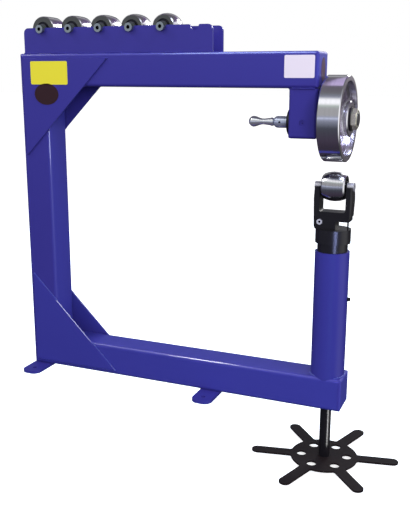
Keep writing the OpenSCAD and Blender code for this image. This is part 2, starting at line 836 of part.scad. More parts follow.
// Nut in the foot of the ram, clear of the screw's thread
module ram_nut() {
    color("darkgoldenrod") translate([wheel_x, 0, ram_z0])
        ring(ram_id - 2 * seat_fit, screw_d + 2 * thread_gap, ram_nut_len);
}

// Front outline of the yoke, from its underside at z = 0: base, bowed arms and window
module yoke_outline() {
    half = yoke_gap / 2 + yoke_arm_t;
    base = yoke_base_w / 2;
    top = yoke_axle_h + 1;
    ease = 5;
    step_h = yoke_base_h * 0.73;
    difference() {
        polygon([[-base + 4, 0], [base - 3, 0], [base - 3, step_h], [base, step_h],
            [half, top * 0.7], [half - 2.5, top], [-half + 2.5, top], [-half, top * 0.7],
            [-base, 8]]);
        translate([-yoke_gap / 2, yoke_base_h + ease]) square([yoke_gap, top]);
        translate([-yoke_gap / 2 + ease, yoke_base_h]) square([yoke_gap - 2 * ease, top]);
        for (s = [-1, 1]) translate([s * (yoke_gap / 2 - ease), yoke_base_h + ease]) circle(ease);
    }
}

module yoke() {
    corner = 5;
    color("black") translate([wheel_x, 0, yoke_z0]) difference() {
        union() {
            intersection() {
                along_front([0, yoke_depth / 2, 0]) linear_extrude(yoke_depth) yoke_outline();
                linear_extrude(yoke_axle_h * 2)
                    chamfered_rect(yoke_gap + 2 * yoke_arm_t, yoke_depth, corner);
            }
            translate([0, 0, -spigot_len]) cylinder(d = ram_id - 2 * seat_fit, h = spigot_len);
        }
        along_x([-axle_len, 0, yoke_axle_h]) cylinder(d = axle_d + 8 * seat_fit, h = 2 * axle_len);
        translate([-axle_len, -axle_d / 2 - 4 * seat_fit, yoke_axle_h])
            cube([2 * axle_len, axle_d + 8 * seat_fit, yoke_axle_h]);
        translate([notch_x, -yoke_depth, 0]) cube([yoke_base_w, 2 * yoke_depth, notch_h]);
        along_front([-clamp_screw_x, 0, clamp_screw_h])
            cylinder(d = clamp_screw_d + 2 * seat_fit, h = yoke_depth);
    }
}

// Rectangle about the origin with its corners cut off
module chamfered_rect(w, h, c) {
    polygon([[-w / 2 + c, -h / 2], [w / 2 - c, -h / 2], [w / 2, -h / 2 + c], [w / 2, h / 2 - c],
        [w / 2 - c, h / 2], [-w / 2 + c, h / 2], [-w / 2, h / 2 - c], [-w / 2, -h / 2 + c]]);
}

// Socket head screw in the front of the yoke's base
module yoke_clamp_screw() {
    depth = yoke_depth / 2;
    color("silver") along_front([wheel_x - clamp_screw_x, 0, yoke_z0 + clamp_screw_h]) difference() {
        union() {
            translate([0, 0, 1]) cylinder(d = clamp_screw_d, h = depth);
            translate([0, 0, depth]) cylinder(d = clamp_head_d, h = clamp_head_t);
        }
        translate([0, 0, depth + 1]) cylinder(d = clamp_head_d * 0.55, h = clamp_head_t, $fn = 6);
    }
}

module yoke_index_pin() {
    color("dimgray") at_index_pin(index_pin_sink) cylinder(d = index_pin_d, h = index_pin_sink + notch_h);
}

module anvil_axle() {
    color("silver") roller_axle([wheel_x, 0, anvil_z]);
}

module anvil_spacers() {
    color("gray") spacer_pair([wheel_x, 0, anvil_z], yoke_gap);
}

module work_anvil() {
    color("lightgray") anvil([wheel_x, 0, anvil_z], anvil_d, anvil_crown);
}

module anvil_bearings() {
    color("darkslategray") anvil_bearing_pair([wheel_x, 0, anvil_z]);
}

// Kick wheel

// Screw that turns in its bush, hung by its collar on the thrust washer
module adjuster_screw() {
    bolt_depth = 40;
    screw_top = ram_z0 + ram_nut_len + screw_past_nut;
    color("black") difference() {
        union() {
            translate([wheel_x, 0, kick_top]) cylinder(d = screw_d, h = screw_top - kick_top);
            translate([wheel_x, 0, arm_top + thrust_t + face_gap / 5])
                cylinder(d = screw_collar_d, h = screw_collar_t);
        }
        translate([wheel_x, 0, kick_top - 1])
            cylinder(d = kick_bolt_d + 2 * seat_fit, h = bolt_depth + 1);
    }
}

// Small round between a spoke's side and the disc
module root_fillet() {
    disc_r = kick_disc_d / 2;
    r = spoke_root_r;
    cy = spoke_w / 2 + r;
    cx = sqrt((disc_r + r) ^ 2 - cy ^ 2);
    k = disc_r / (disc_r + r);
    difference() {
        polygon([[cx * k - r, spoke_w / 2 - 1], [cx, spoke_w / 2 - 1], [cx, cy], [cx * k, cy * k]]);
        translate([cx, cy]) circle(r + root_bite);
    }
}

module kick_wheel() {
    spoke_len = kick_tip_d / 2 - spoke_w / 2;
    color("black") translate([wheel_x, 0, kick_top - kick_t]) difference() {
        linear_extrude(kick_t) {
            circle(d = kick_disc_d);
            for (i = [0:spoke_count - 1]) rotate(spoke_turn + i * 360 / spoke_count) {
                translate([0, -spoke_w / 2]) square([spoke_len, spoke_w]);
                translate([spoke_len, 0]) circle(d = spoke_w);
            }
            for (i = [0:spoke_count - 1]) rotate(spoke_turn + i * 360 / spoke_count) {
                root_fillet();
                mirror([0, 1]) root_fillet();
            }
        }
        for (i = [0:spoke_count - 1]) rotate(spoke_turn + i * 360 / spoke_count)
            translate([kick_hole_r, 0, -1]) cylinder(d = kick_hole_d, h = kick_t + 2);
        translate([0, 0, -1]) cylinder(d = kick_bolt_d + 2 * seat_fit, h = kick_t + 2);
    }
}

module kick_washer() {
    color("dimgray") translate([wheel_x, 0, kick_top - kick_t - kick_washer_t])
        ring(kick_bolt_d * 2.2, kick_bolt_d + 2 * seat_fit, kick_washer_t);
}

module kick_bolt() {
    head_t = kick_bolt_d * 0.62;
    shank = 30;
    color("dimgray") translate([wheel_x, 0, kick_top - kick_t - kick_washer_t]) {
        cylinder(d = kick_bolt_d, h = kick_t + kick_washer_t + shank);
        translate([0, 0, -head_t]) cylinder(d = kick_bolt_d * 1.5 / cos(30), h = head_t, $fn = 6);
    }
}

column_tube();
upper_arm_tube();
lower_arm_tube();
tube_caps();
lower_gussets();
upper_gussets();
rear_foot();
front_foot();
head_block();
axle_sleeve();
sleeve_bushes();
head_lock_screw();
rack_front_plate();
rack_rear_plate();
rack_axles();
rack_spacers();
spare_anvil(0);  // spare_anvil_1
spare_anvil(1);  // spare_anvil_2
spare_anvil(2);  // spare_anvil_3
spare_anvil(3);  // spare_anvil_4
spare_anvil(4);  // spare_anvil_5
spare_bearings(0);  // spare_bearings_1
spare_bearings(1);  // spare_bearings_2
spare_bearings(2);  // spare_bearings_3
spare_bearings(3);  // spare_bearings_4
spare_bearings(4);  // spare_bearings_5
post_tube();
screw_bush();
guide_screw();
thrust_washer();
eccentric_axle();
axle_flange();
handle_hub();
release_handle();
hub_set_screw();
axle_spacers();
axle_washer();
axle_nut();
wheel_bearing_inners();
upper_wheel();
wheel_bearing_outers();
wheel_bearing_balls();
ram();
ram_collar();
ram_nut();
yoke();
yoke_clamp_screw();
yoke_index_pin();
anvil_axle();
anvil_spacers();
work_anvil();
anvil_bearings();
adjuster_screw();
kick_wheel();
kick_washer();
kick_bolt();
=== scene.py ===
"""Looks of an English wheel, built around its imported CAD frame.

The CAD nodes keep their shapes and get procedural finishes. The script adds the weld beads and
some bare plates, which the solids leave out. Lengths are in metres, in the CAD's own frame: +X
runs from the column towards the wheels, -Y is the front, +Z is up, and the bench lies at z = 0.
"""

from __future__ import annotations

import logging
import math
from dataclasses import dataclass, field
from enum import Enum

import bmesh
import bpy
from mathutils import Matrix, Vector

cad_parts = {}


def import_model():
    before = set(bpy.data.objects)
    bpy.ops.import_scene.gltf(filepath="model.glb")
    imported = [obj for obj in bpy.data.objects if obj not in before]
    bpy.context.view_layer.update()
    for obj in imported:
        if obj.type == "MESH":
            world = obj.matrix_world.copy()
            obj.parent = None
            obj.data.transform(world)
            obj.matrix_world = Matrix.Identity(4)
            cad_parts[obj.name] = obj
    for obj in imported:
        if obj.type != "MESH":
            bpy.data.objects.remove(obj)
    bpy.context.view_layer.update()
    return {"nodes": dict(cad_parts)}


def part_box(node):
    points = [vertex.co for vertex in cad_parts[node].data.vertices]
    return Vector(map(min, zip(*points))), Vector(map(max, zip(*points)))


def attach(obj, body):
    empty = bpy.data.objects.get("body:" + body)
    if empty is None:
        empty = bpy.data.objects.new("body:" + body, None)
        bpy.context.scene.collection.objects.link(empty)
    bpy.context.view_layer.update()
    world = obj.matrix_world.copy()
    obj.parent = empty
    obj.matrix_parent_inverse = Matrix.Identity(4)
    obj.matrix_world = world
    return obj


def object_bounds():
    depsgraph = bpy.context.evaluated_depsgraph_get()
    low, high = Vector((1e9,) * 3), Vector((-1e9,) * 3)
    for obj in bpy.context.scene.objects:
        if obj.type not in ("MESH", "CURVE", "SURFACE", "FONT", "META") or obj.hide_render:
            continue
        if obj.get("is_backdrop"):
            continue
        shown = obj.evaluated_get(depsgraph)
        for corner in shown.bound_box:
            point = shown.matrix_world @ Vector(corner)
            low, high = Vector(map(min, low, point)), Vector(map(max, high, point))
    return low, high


LOG = logging.getLogger("english_wheel")
MM = 0.001
IMAGE_WIDTH = 410

Point = tuple[float, float, float]


class Axis(Enum):
    """Axis that a turned piece spins about, with its place in a vector."""

    X = 0
    Y = 1
    Z = 2


def linear(hex_colour: str) -> tuple[float, float, float, float]:
    """Turns an sRGB hex colour into linear RGBA.

    Args:
        hex_colour: Colour such as "#36368c".

    Returns:
        Red, green, blue and an alpha of 1.
    """
    values = []
    for start in (1, 3, 5):
        channel = int(hex_colour[start:start + 2], 16) / 255
        values.append(channel / 12.92 if channel <= 0.04045 else ((channel + 0.055) / 1.055) ** 2.4)
    return (values[0], values[1], values[2], 1.0)


def add_node(tree: bpy.types.NodeTree, kind: str, settings: dict | None = None,
             links: dict | None = None) -> bpy.types.Node:
    """Adds a node with its settings and the links into it.

    Args:
        tree: Node tree that gets the node.
        kind: Blender's name for the type of node.
        settings: Values by property name, or by input name or number.
        links: Source sockets by input name or number.

    Returns:
        The new node.
    """
    node = tree.nodes.new(kind)
    for key, value in (settings or {}).items():
        if isinstance(key, str) and hasattr(node, key):
            setattr(node, key, value)
        else:
            node.inputs[key].default_value = value
    for key, socket in (links or {}).items():
        tree.links.new(socket, node.inputs[key])
    return node


# Finishes


@dataclass(frozen=True)
class Finish:
    """A surface finish: its name, colour and gloss, and the material made from them."""

    name: str
    colour: str
    roughness: float
    metallic: float = 0.0
    coat: float = 0.0
    coat_roughness: float = 0.1
    specular: float = 0.5

    def material(self) -> bpy.types.Material:
        """Builds the material, with its surface detail.

        Returns:
            The new material.
        """
        material = bpy.data.materials.new(self.name)
        material.use_nodes = True
        tree = material.node_tree
        shader = tree.nodes["Principled BSDF"]
        shader.inputs["Base Color"].default_value = linear(self.colour)
        shader.inputs["Metallic"].default_value = self.metallic
        shader.inputs["Roughness"].default_value = self.roughness
        shader.inputs["Coat Weight"].default_value = self.coat
        shader.inputs["Coat Roughness"].default_value = self.coat_roughness
        shader.inputs["Specular IOR Level"].default_value = self.specular
        self.detail(tree, shader)
        return material

    def detail(self, tree: bpy.types.NodeTree, shader: bpy.types.Node) -> None:
        """Adds the finish's pattern; a plain finish has none.

        Args:
            tree: The material's node tree.
            shader: Its Principled BSDF.
        """


@dataclass(frozen=True)
class PowderCoat(Finish):
    """Sprayed and baked paint: an even colour with a fine orange peel that softens its gloss."""

    peel: float = 3.0 * MM
    peel_height: float = 0.05 * MM
    peel_strength: float = 0.35
    film: float = 250 * MM
    shade: str = "#312d7c"

    def detail(self, tree: bpy.types.NodeTree, shader: bpy.types.Node) -> None:
        """Adds orange peel and a slow change of film thickness.

        Args:
            tree: The material's node tree.
            shader: Its Principled BSDF.
        """
        coords = add_node(tree, "ShaderNodeTexCoord")
        film = add_node(tree, "ShaderNodeTexNoise", {"Scale": 1 / self.film, "Detail": 3.0},
                        {"Vector": coords.outputs["Object"]})
        tone = add_node(tree, "ShaderNodeMix", {"data_type": "RGBA", 6: linear(self.shade),
                                                7: linear(self.colour)},
                        {0: film.outputs["Fac"]})
        tree.links.new(tone.outputs[2], shader.inputs["Base Color"])
        peel = add_node(tree, "ShaderNodeTexNoise", {"Scale": 1 / self.peel, "Detail": 2.0},
                        {"Vector": coords.outputs["Object"]})
        bump = add_node(tree, "ShaderNodeBump",
                        {"Strength": self.peel_strength, "Distance": self.peel_height},
                        {"Height": peel.outputs["Fac"]})
        tree.links.new(bump.outputs["Normal"], shader.inputs["Normal"])


@dataclass(frozen=True)
class BlackedSteel(Finish):
    """Black oxide or flat paint on machined steel: nearly black, with a mottled sheen."""

    grain: float = 6.0 * MM
    grain_height: float = 0.05 * MM
    grain_strength: float = 0.04
    worn: str = "#1f1e22"
    worn_from: float = 0.55
    worn_full: float = 0.8
    worn_share: float = 0.35
    smoother: float = 0.06
    rougher: float = 0.08

    def detail(self, tree: bpy.types.NodeTree, shader: bpy.types.Node) -> None:
        """Adds mottling to the colour and the sheen, and faint handling wear.

        Args:
            tree: The material's node tree.
            shader: Its Principled BSDF.
        """
        coords = add_node(tree, "ShaderNodeTexCoord")
        mottle = add_node(tree, "ShaderNodeTexNoise", {"Scale": 1 / self.grain, "Detail": 4.0},
                          {"Vector": coords.outputs["Object"]})
        tone = add_node(tree, "ShaderNodeMix", {"data_type": "RGBA", 6: linear(self.colour),
                                                7: linear(self.worn)})
        patch = add_node(tree, "ShaderNodeMapRange",
                         {"From Min": self.worn_from, "From Max": self.worn_full,
                          "To Max": self.worn_share},
                         {"Value": mottle.outputs["Fac"]})
        tree.links.new(patch.outputs["Result"], tone.inputs[0])
        tree.links.new(tone.outputs[2], shader.inputs["Base Color"])
        sheen = add_node(tree, "ShaderNodeMapRange",
                         {"To Min": self.roughness - self.smoother,
                          "To Max": self.roughness + self.rougher},
                         {"Value": mottle.outputs["Fac"]})
        tree.links.new(sheen.outputs["Result"], shader.inputs["Roughness"])
        bump = add_node(tree, "ShaderNodeBump",
                        {"Strength": self.grain_strength, "Distance": self.grain_height},
                        {"Height": mottle.outputs["Fac"]})
        tree.links.new(bump.outputs["Normal"], shader.inputs["Normal"])


@dataclass(frozen=True)
class TurnedMetal(Finish):
    """Ground, turned or plated metal with fine rings about the axis it was turned on.

    A painted face colour sets the end faces apart from the tread, as painted light and shade for
    how they catch light.
    A hole shade radius darkens the hole in the middle as painted shade.
    A repeat length gives each piece in a row its own axis.
    """

    axis: Axis = Axis.X
    centre: Point = (0.0, 0.0, 0.0)
    ring: float = 2.5 * MM
    ring_height: float = 0.03 * MM
    ring_strength: float = 0.06
    ring_from: float = 0.35
    ring_full: float = 0.75
    dark: str = "#66666c"
    dark_share: float = 0.2
    sheen_change: float = 0.04
    smoothest: float = 0.03
    face_colour: str = ""
    face_metallic: float = 1.0
    face_from: float = 0.8
    face_full: float = 0.9
    hole_shade_colour: str = "#17161a"
    hole_shade_radius: float = 0.0
    repeat: float = 0.0

    def detail(self, tree: bpy.types.NodeTree, shader: bpy.types.Node) -> None:
        """Adds rings in the tone, the sheen and the height, and any painted face colour and painted
        hole shade.

        Args:
            tree: The material's node tree.
            shader: Its Principled BSDF.
        """
        coords = add_node(tree, "ShaderNodeTexCoord")
        offset = tuple(-value for value in self.centre)
        centred = add_node(tree, "ShaderNodeMapping", {"Location": offset},
                           {"Vector": coords.outputs["Object"]})
        parts = add_node(tree, "ShaderNodeSeparateXYZ", None, {0: centred.outputs["Vector"]})
        others = [n for n in range(3) if n != self.axis.value]
        sideways = parts.outputs[others[0]]
        if self.repeat:
            nearest = add_node(tree, "ShaderNodeMath",
                               {"operation": "WRAP", 1: self.repeat / 2, 2: -self.repeat / 2},
                               {0: sideways})
            sideways = nearest.outputs[0]
        across = add_node(tree, "ShaderNodeCombineXYZ", None,
                          {0: sideways, 1: parts.outputs[others[1]]})
        radius = add_node(tree, "ShaderNodeVectorMath", {"operation": "LENGTH"},
                          {0: across.outputs[0]})
        # Rings vary along the axis and outwards only. Real ones are far finer than this pitch,
        # which is drawn coarse enough to show in the render.
        place = add_node(tree, "ShaderNodeCombineXYZ", None,
                         {0: parts.outputs[self.axis.value], 1: radius.outputs["Value"]})
        rings = add_node(tree, "ShaderNodeTexNoise", {"Scale": 1 / self.ring, "Detail": 3.0},
                         {"Vector": place.outputs[0]})
        amount = add_node(tree, "ShaderNodeMapRange",
                          {"From Min": self.ring_from, "From Max": self.ring_full,
                           "To Max": self.dark_share},
                          {"Value": rings.outputs["Fac"]})
        tone = add_node(tree, "ShaderNodeMix", {"data_type": "RGBA", 6: linear(self.colour),
                                                7: linear(self.dark)},
                        {0: amount.outputs["Result"]})
        colour = tone.outputs[2]
        # Faces across the axis get their own colour and metal share: painted light and shade for
        # how flat ends catch light.
        if self.face_colour:
            normal = add_node(tree, "ShaderNodeSeparateXYZ", None, {0: coords.outputs["Normal"]})
            flat = add_node(tree, "ShaderNodeMath", {"operation": "ABSOLUTE"},
                            {0: normal.outputs[self.axis.value]})
            face = add_node(tree, "ShaderNodeMapRange",
                            {"From Min": self.face_from, "From Max": self.face_full},
                            {"Value": flat.outputs[0]})
            end = add_node(tree, "ShaderNodeMix",
                           {"data_type": "RGBA", 7: linear(self.face_colour)},
                           {0: face.outputs["Result"], 6: colour})
            colour = end.outputs[2]
            bare = add_node(tree, "ShaderNodeMapRange",
                            {"To Min": self.metallic, "To Max": self.face_metallic},
                            {"Value": face.outputs["Result"]})
            tree.links.new(bare.outputs["Result"], shader.inputs["Metallic"])
        # Painted shade: inside the given radius, the hole in the middle is coloured near black.
        if self.hole_shade_radius:
            inside = add_node(tree, "ShaderNodeMath",
                              {"operation": "LESS_THAN", 1: self.hole_shade_radius},
                              {0: radius.outputs["Value"]})
            hole_shade = add_node(tree, "ShaderNodeMix",
                            {"data_type": "RGBA", 7: linear(self.hole_shade_colour)},
                            {0: inside.outputs[0], 6: colour})
            colour = hole_shade.outputs[2]
        tree.links.new(colour, shader.inputs["Base Color"])
        sheen = add_node(tree, "ShaderNodeMapRange",
                         {"To Min": max(self.roughness - self.sheen_change, self.smoothest),
                          "To Max": self.roughness + self.sheen_change},
                         {"Value": rings.outputs["Fac"]})
        tree.links.new(sheen.outputs["Result"], shader.inputs["Roughness"])
        bump = add_node(tree, "ShaderNodeBump",
                        {"Strength": self.ring_strength, "Distance": self.ring_height},
                        {"Height": rings.outputs["Fac"]})
        tree.links.new(bump.outputs["Normal"], shader.inputs["Normal"])


@dataclass(frozen=True)
class VinylPlate(Finish):
    """Bare vinyl plate: a smooth even film with a faint mottle from its adhesive."""

    mottle: float = 12.0 * MM
    sheen_change: float = 0.08

    def detail(self, tree: bpy.types.NodeTree, shader: bpy.types.Node) -> None:
        """Adds the mottle to the sheen.

        Args:
            tree: The material's node tree.
            shader: Its Principled BSDF.
        """
        coords = add_node(tree, "ShaderNodeTexCoord")
        noise = add_node(tree, "ShaderNodeTexNoise", {"Scale": 1 / self.mottle, "Detail": 2.0},
                         {"Vector": coords.outputs["Object"]})
        sheen = add_node(tree, "ShaderNodeMapRange",
                         {"To Min": self.roughness - self.sheen_change,
                          "To Max": self.roughness + self.sheen_change},
                         {"Value": noise.outputs["Fac"]})
        tree.links.new(sheen.outputs["Result"], shader.inputs["Roughness"])


def middle(node: str) -> Point:
    """Gives the middle of a CAD node's box.

    Args:
        node: The node's name.

    Returns:
        The box's centre.
    """
    low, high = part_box(node)
    return tuple((a + b) / 2 for a, b in zip(low, high))


@dataclass
class FinishShop:
    """Makes each finish once and hands it to the nodes that take it."""

    made: dict[Finish, bpy.types.Material] = field(default_factory=dict)

    def material(self, finish: Finish) -> bpy.types.Material:
        """Gives a finish's material, made on first use.

        Args:
            finish: The finish.

        Returns:
            Its material.
        """
        if finish not in self.made:
            self.made[finish] = finish.material()
        return self.made[finish]

    def dress(self, piece: bpy.types.Object, finish: Finish) -> None:
        """Puts a finish on every material slot of a piece.

        Args:
            piece: The CAD node's object or a new piece.
            finish: The finish.
        """
        material = self.material(finish)
        if not piece.material_slots:
            piece.data.materials.append(material)
        for slot in piece.material_slots:
            slot.material = material
        LOG.info("%s: %s", piece.name, finish.name)


# Baked powder on steel: an even violet-blue whose thin skin gives pale glints on the edges.
BLUE = PowderCoat("blue_powder_coat", "#343082", 0.4, coat=0.25, coat_roughness=0.08, specular=0.1)
# The same powder on the lower weld ripples, glossier and lighter than on the upper welds; the
# lighter colour is a painted highlight, so each ripple gives a small spark.
WELD_HIGHLIGHT_BLUE = PowderCoat("blue_powder_coat_welds_painted_highlight", "#4048a0", 0.3, coat=1.0, coat_roughness=0.12,
                       specular=0.4, shade="#343a90")
# Hot blacking on machined steel: nearly black, with one long soft streak down a round piece.
BLACK_OXIDE = BlackedSteel("black_oxide_steel", "#121115", 0.3, specular=0.4)
# Flat paint on cut plate: a brownish black with hardly any shine.
FLAT_BLACK = BlackedSteel("flat_black_paint", "#1e1819", 0.6, specular=0.08, worn="#2a2424")
# Turned bearing bronze: warm brown, ringed, with a dull shine.
BRONZE = TurnedMetal("machined_bronze", "#a87c43", 0.35, 1.0, dark="#6d4e28", axis=Axis.Z)


def turned(name: str, colour: str, roughness: float, node: str, axis: Axis,
           **more: float | str) -> TurnedMetal:
    """Makes a turned metal centred on a node's own axis.

    Args:
        name: The finish's name.
        colour: Its colour.
        roughness: Its roughness.
        node: The node whose box gives the centre.
        axis: The axis it was turned on.
        more: Other fields of the finish.

    Returns:
        The finish.
    """
    return TurnedMetal(name, colour, roughness, 1.0, axis=axis, centre=middle(node), **more)


# Sub-assemblies


@dataclass
class Frame:
    """The welded frame: its tubes, plates, feet and rack, with weld beads and bare plates."""

    shop: FinishShop
    nodes: dict[str, bpy.types.Object]
    bead_radius: float = 3.2 * MM
    bead_pitch: float = 3.6 * MM
    tube_corner: float = 10 * MM
    rack_stitches: int = 7
    stitch: float = 50 * MM
    foot_bead_out: float = 4 * MM
    foot_bead_up: float = 1.5 * MM
    foot_bead_start: float = 8 * MM
    gusset_inset: float = 5 * MM
    post_arc_steps: int = 40
    plate_thickness: float = 0.6 * MM
    painted: tuple[str, ...] = (
        "column_tube", "upper_arm_tube", "lower_arm_tube", "tube_caps", "lower_gussets",
        "upper_gussets", "rear_foot", "front_foot", "head_block", "head_lock_screw",
        "rack_front_plate", "rack_rear_plate", "post_tube")

    def build(self) -> None:
        """Dresses the frame's nodes and adds its welds and plates."""
        for name in self.painted:
            self.shop.dress(self.nodes[name], BLUE)
        self.shop.dress(self.nodes["guide_screw"], BLACK_OXIDE)
        for name in ("sleeve_bushes", "screw_bush", "thrust_washer"):
            self.shop.dress(self.nodes[name], BRONZE)
        # Turned mild steel: a plain mid grey, ringed by the lathe.
        steel = turned("turned_steel_head", "#8c8c90", 0.35, "axle_sleeve", Axis.X)
        self.shop.dress(self.nodes["axle_sleeve"], steel)
        self.weld()
        self.bare_plates()

    def weld(self) -> None:
        """Lays the frame's weld beads as two meshes of ripples along the joints."""
        bead = WeldBead(self.bead_radius, self.bead_pitch)
        # The lower beads take the lighter, glossier copy of the paint, a painted highlight.
        for name, paths, finish in (("frame_welds", self.upper_paths(), BLUE),
                                    ("lower_welds", self.lower_paths(), WELD_HIGHLIGHT_BLUE)):
            beads = bead.lay(name, paths, self.shop.material(finish))
            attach(beads, "frame")
            LOG.info("%s: %d paths", name, len(paths))

    def upper_paths(self) -> list[list[Vector]]:
        """Works out the beads of the column, the upper arm, the head, the rack and the feet.

        Returns:
            The beads' paths.
        """
        column_high = Vector(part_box("column_tube")[1])
        upper_low, upper_high = (Vector(v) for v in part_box("upper_arm_tube"))
        lower_low, lower_high = (Vector(v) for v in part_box("lower_arm_tube"))
        head_low, head_high = (Vector(v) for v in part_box("head_block"))
        rack_low, rack_high = (Vector(v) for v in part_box("rack_front_plate"))
        half = column_high.y
        flat = half - self.tube_corner
        paths = []
        for z in (lower_high.z, upper_low.z):
            paths.append([Vector((column_high.x, -flat, z)), Vector((column_high.x, flat, z))])
        paths += self.gusset_paths("upper_gussets", -1, column_high.x, upper_low.z)
        paths.append([Vector((head_low.x, -flat, upper_low.z)),
                      Vector((head_low.x, flat, upper_low.z))])
        for y in (-half, half):
            paths.append([Vector((head_low.x + self.tube_corner, y, upper_low.z)),
                          Vector((head_high.x - self.tube_corner, y, upper_low.z))])
        step = (rack_high.x - rack_low.x - self.stitch) / (self.rack_stitches - 1)
        for side in (-1, 1):
            y = side * abs(rack_low.y)
            for n in range(self.rack_stitches):
                x = rack_low.x + n * step
                paths.append([Vector((x, y, upper_high.z)),
                              Vector((x + self.stitch, y, upper_high.z))])
        for foot in ("rear_foot", "front_foot"):
            low, high = (Vector(v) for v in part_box(foot))
            start = max(low.x, lower_low.x + self.foot_bead_start)
            z = high.z + self.foot_bead_up
            for y in (-flat - self.foot_bead_out, flat + self.foot_bead_out):
                paths.append([Vector((start, y, z)), Vector((high.x, y, z))])
        return paths

    def lower_paths(self) -> list[list[Vector]]:
        """Works out the beads of the lower gussets and of the post's foot.

        Returns:
            The beads' paths.
        """
        column_high = Vector(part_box("column_tube")[1])
        arm_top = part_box("lower_arm_tube")[1][2]
        post_low, post_high = (Vector(v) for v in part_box("post_tube"))
        paths = self.gusset_paths("lower_gussets", 1, column_high.x, arm_top)
        centre = (post_low + post_high) / 2
        radius = (post_high.x - post_low.x) / 2
        sweep = math.asin((column_high.y - self.tube_corner) / radius)
        steps = self.post_arc_steps
        for start in (0, math.pi):
            arc = [start - sweep + 2 * sweep * n / steps for n in range(steps + 1)]
            paths.append([Vector((centre.x + radius * math.cos(a), radius * math.sin(a), arm_top))
                          for a in arc])
        return paths

    def gusset_paths(self, name: str, sign: int, column_front: float, arm_edge: float
                     ) -> list[list[Vector]]:
        """Runs beads along a pair of gussets where they lie on the tubes.

        Args:
            name: The gussets' node.
            sign: 1 where the upright leg goes up, -1 where it goes down.
            column_front: The column's front face.
            arm_edge: The arm's edge in the throat.

        Returns:
            The beads' paths.
        """
        low, high = (Vector(v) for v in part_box(name))
        corner_z = low.z if sign > 0 else high.z
        tip_z = high.z if sign > 0 else low.z
        leg = high.z - low.z
        cross_z = corner_z + sign * (leg - (column_front - low.x))
        cross_x = low.x + leg - abs(arm_edge - corner_z)
        paths = []
        for y in (low.y + self.gusset_inset, high.y - self.gusset_inset):
            corner = Vector((low.x, y, corner_z))
            upright = Vector((low.x, y, tip_z))
            toe = Vector((high.x, y, corner_z))
            paths += [[corner, upright], [corner, toe],
                      [upright, Vector((column_front, y, cross_z))],
                      [toe, Vector((cross_x, y, arm_edge))]]
        return paths

    def bare_plates(self) -> None:
        """Adds the bare plates on the upper arm's front and on its end."""
        gusset_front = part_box("upper_gussets")[0][1]
        arm_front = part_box("upper_arm_tube")[0][1]
        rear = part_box("column_tube")[0][0]
        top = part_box("upper_arm_tube")[1][2]
        head_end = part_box("head_block")[1][0]
        # Bare vinyl film: flat, even colour with a soft sheen.
        yellow = VinylPlate("bare_yellow_vinyl", "#d8d034", 0.45, specular=0.2)
        dark = VinylPlate("bare_dark_vinyl", "#2e1c20", 0.4, specular=0.15)
        white = VinylPlate("bare_white_vinyl", "#d8d2da", 0.45, specular=0.2)
        grey = VinylPlate("bare_grey_vinyl", "#4a3448", 0.4, specular=0.2)
        places = (
            BarePlate("plate_upper_corner", (rear + 113 * MM, gusset_front, top - 60 * MM),
                      137 * MM, 72 * MM, 5 * MM, Axis.Y, yellow),
            BarePlate("plate_round", (rear + 101 * MM, gusset_front, top - 126 * MM),
                      90 * MM, 67 * MM, 0.0, Axis.Y, dark),
            BarePlate("plate_arm_front", (rear + 930.5 * MM, arm_front, top - 42 * MM),
                      87 * MM, 62 * MM, 4 * MM, Axis.Y, white),
            BarePlate("plate_arm_end", (head_end, 0.0, top - 50 * MM),
                      44 * MM, 66 * MM, 0.0, Axis.X, grey),
        )
        for place in places:
            place.build(self.shop, self.plate_thickness)


@dataclass
class BarePlate:
    """A thin plate with rounded corners, or an oval where its corner is 0, with nothing on it."""

    name: str
    centre: Point
    width: float
    height: float
    corner: float
    faces: Axis
    finish: Finish
    arc_steps: int = 12

    def build(self, shop: FinishShop, thickness: float) -> None:
        """Makes the plate on its face and rides it on the frame.

        Args:
            shop: The finishes.
            thickness: The plate's thickness.
        """
        wide = self.corner if self.corner else self.width / 2
        tall = self.corner if self.corner else self.height / 2
        outline = []
        for quarter, (sx, sz) in enumerate(((1, 1), (-1, 1), (-1, -1), (1, -1))):
            for step in range(self.arc_steps + bool(self.corner)):
                angle = (quarter + step / self.arc_steps) * math.pi / 2
                outline.append((sx * (self.width / 2 - wide) + wide * math.cos(angle),
                                sz * (self.height / 2 - tall) + tall * math.sin(angle)))
        edge = thickness / 3
        mesh = bmesh.new()
        rings = []
        for depth, inset in ((0.0, 0.0), (thickness - edge, 0.0), (thickness, edge)):
            scale_u = 1 - 2 * inset / self.width
            scale_v = 1 - 2 * inset / self.height
            rings.append([mesh.verts.new(self.place(u * scale_u, v * scale_v, depth))
                          for u, v in outline])
        count = len(outline)
        for lower, upper in zip(rings, rings[1:]):
            for n in range(count):
                mesh.faces.new((lower[n], lower[(n + 1) % count], upper[(n + 1) % count], upper[n]))
        mesh.faces.new(rings[-1])
        mesh.faces.new(list(reversed(rings[0])))
        bmesh.ops.recalc_face_normals(mesh, faces=mesh.faces)
        data = bpy.data.meshes.new(self.name)
        mesh.to_mesh(data)
        mesh.free()
        piece = bpy.data.objects.new(self.name, data)
        bpy.context.scene.collection.objects.link(piece)
        shop.dress(piece, self.finish)
        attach(piece, "frame")

    def place(self, u: float, v: float, depth: float) -> Point:
        """Puts a point of the plate into the frame.

        Args:
            u: Distance across the plate.
            v: Distance up the plate.
            depth: Distance out of the face it lies on.

        Returns:
            The point.
        """
        x, y, z = self.centre
        if self.faces is Axis.Y:
            return (x + u, y - depth, z + v)
        return (x + depth, y + u, z + v)


